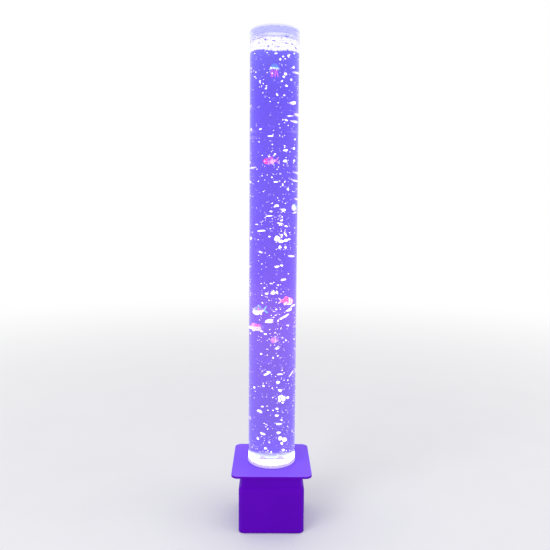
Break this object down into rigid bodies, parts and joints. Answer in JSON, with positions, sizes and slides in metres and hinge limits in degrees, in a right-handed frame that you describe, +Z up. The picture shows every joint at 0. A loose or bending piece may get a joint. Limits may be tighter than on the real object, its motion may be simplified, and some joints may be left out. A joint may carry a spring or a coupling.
{
  "type": "bubble tube floor lamp",
  "caption": "Floor-standing bubble tube lamp: a clear water column with drifting fish on a square base that holds its light and air pump.",
  "frame": {"origin": "centre of the square base on the floor, at the underside of the rubber feet", "axes": "+Z up along the tube, -Y the front, +Y the back with the power socket and the button"},
  "size_m": [0.165, 0.165, 1.024],
  "materials": {
    "clear_acrylic": "polished clear acrylic",
    "frosted_acrylic": "frosted white acrylic",
    "seal_rubber": "soft flat seal",
    "screw_steel": "zinc plated",
    "nut_brass": "turned",
    "nut_steel": "nickel plated",
    "nozzle_plastic": "moulded",
    "plate_plastic": "satin moulded violet",
    "housing_plastic": "fine grained violet",
    "cover_plastic": "moulded",
    "foot_rubber": "matt",
    "white_board": "white solder mask",
    "led_lens": "phosphor gel in a white frame",
    "green_board": "green solder mask",
    "dark_parts": "moulded parts",
    "black_plastic": "moulded",
    "button_plastic": "polished",
    "pump_plastic": "moulded",
    "core_steel": "stacked plates",
    "copper_wire": "lacquered copper windings",
    "pin_steel": "ground",
    "arm_steel": "pressed",
    "bellows_rubber": "soft",
    "valve_plastic": "moulded",
    "silicone_hose": "clear silicone",
    "lead_plastic": "vinyl insulation",
    "jelly_plastic": "soft tinted vinyl",
    "fish_red_plastic": "painted vinyl",
    "fish_cyan_plastic": "painted vinyl",
    "fish_pink_plastic": "painted vinyl",
    "fish_blue_plastic": "painted vinyl",
    "fish_white_plastic": "painted vinyl",
    "fish_coral_plastic": "painted vinyl"
  },
  "bodies": {
    "root": {"tube": "clear_acrylic", "tube_foot": "frosted_acrylic", "foot_seal": "seal_rubber", "foot_screws": "screw_steel", "air_nozzles": "nozzle_plastic", "nozzle_nuts": "nut_brass", "top_plate": "plate_plastic", "plate_screws": "screw_steel", "housing": "housing_plastic", "bottom_cover": "cover_plastic", "cover_screws": "screw_steel", "rubber_feet": "foot_rubber", "led_board": "white_board", "leds": "led_lens", "board_screws": "screw_steel", "control_board": "green_board", "board_parts": "dark_parts", "dc_jack": "black_plastic", "jack_nut": "nut_steel", "button_switch": "black_plastic", "button_nut": "nut_steel", "pump_mounts": "foot_rubber", "pump_tray": "pump_plastic", "pump_cover": "pump_plastic", "pump_core": "core_steel", "pump_coils": "copper_wire", "pump_pin": "pin_steel", "pump_bellows": "bellows_rubber", "valve_block": "valve_plastic", "check_valve": "valve_plastic", "air_splitter": "valve_plastic", "air_hoses": "silicone_hose", "wiring": "lead_plastic"},
    "lid": {"lid": "clear_acrylic"},
    "button": {"mode_button": "button_plastic"},
    "pump_arm": {"pump_arm": "arm_steel"},
    "jellyfish": {"jellyfish": "jelly_plastic"},
    "fish_red": {"fish_red": "fish_red_plastic"},
    "fish_cyan": {"fish_cyan": "fish_cyan_plastic"},
    "fish_pink": {"fish_pink": "fish_pink_plastic"},
    "fish_blue": {"fish_blue": "fish_blue_plastic"},
    "fish_white": {"fish_white": "fish_white_plastic"},
    "fish_coral": {"fish_coral": "fish_coral_plastic"}
  },
  "joints": [
    {"name": "lid_lift", "type": "slide", "parent": "root", "child": "lid", "axis": [0, 0, 1], "range_m": [0, 0.12]},
    {"name": "button_press", "type": "slide", "parent": "root", "child": "button", "axis": [0, -1, 0], "range_m": [0, 0.0015], "stiffness_N_per_m": 200},
    {"name": "pump_arm_swing", "type": "hinge", "parent": "root", "child": "pump_arm", "pos_m": [-0.02, 0.014, 0.0245], "axis": [0, 0, 1], "range_deg": [-2.5, 2.5], "stiffness_Nm_per_rad": 0.05, "deforming": ["pump_bellows"]},
    {"name": "jellyfish_drift", "type": "slide", "parent": "root", "child": "jellyfish", "axis": [0, 0, 1], "range_m": [-0.07, 0.012]},
    {"name": "fish_red_drift", "type": "slide", "parent": "root", "child": "fish_red", "axis": [0, 0, 1], "range_m": [-0.09, 0.08]},
    {"name": "fish_cyan_drift", "type": "slide", "parent": "root", "child": "fish_cyan", "axis": [0, 0, 1], "range_m": [-0.2, 0.2]},
    {"name": "fish_pink_drift", "type": "slide", "parent": "root", "child": "fish_pink", "axis": [0, 0, 1], "range_m": [-0.2, 0.2]},
    {"name": "fish_blue_drift", "type": "slide", "parent": "root", "child": "fish_blue", "axis": [0, 0, 1], "range_m": [-0.2, 0.2]},
    {"name": "fish_white_drift", "type": "slide", "parent": "root", "child": "fish_white", "axis": [0, 0, 1], "range_m": [-0.2, 0.2]},
    {"name": "fish_coral_drift", "type": "slide", "parent": "root", "child": "fish_coral", "axis": [0, 0, 1], "range_m": [-0.12, 0.15]}
  ]
}
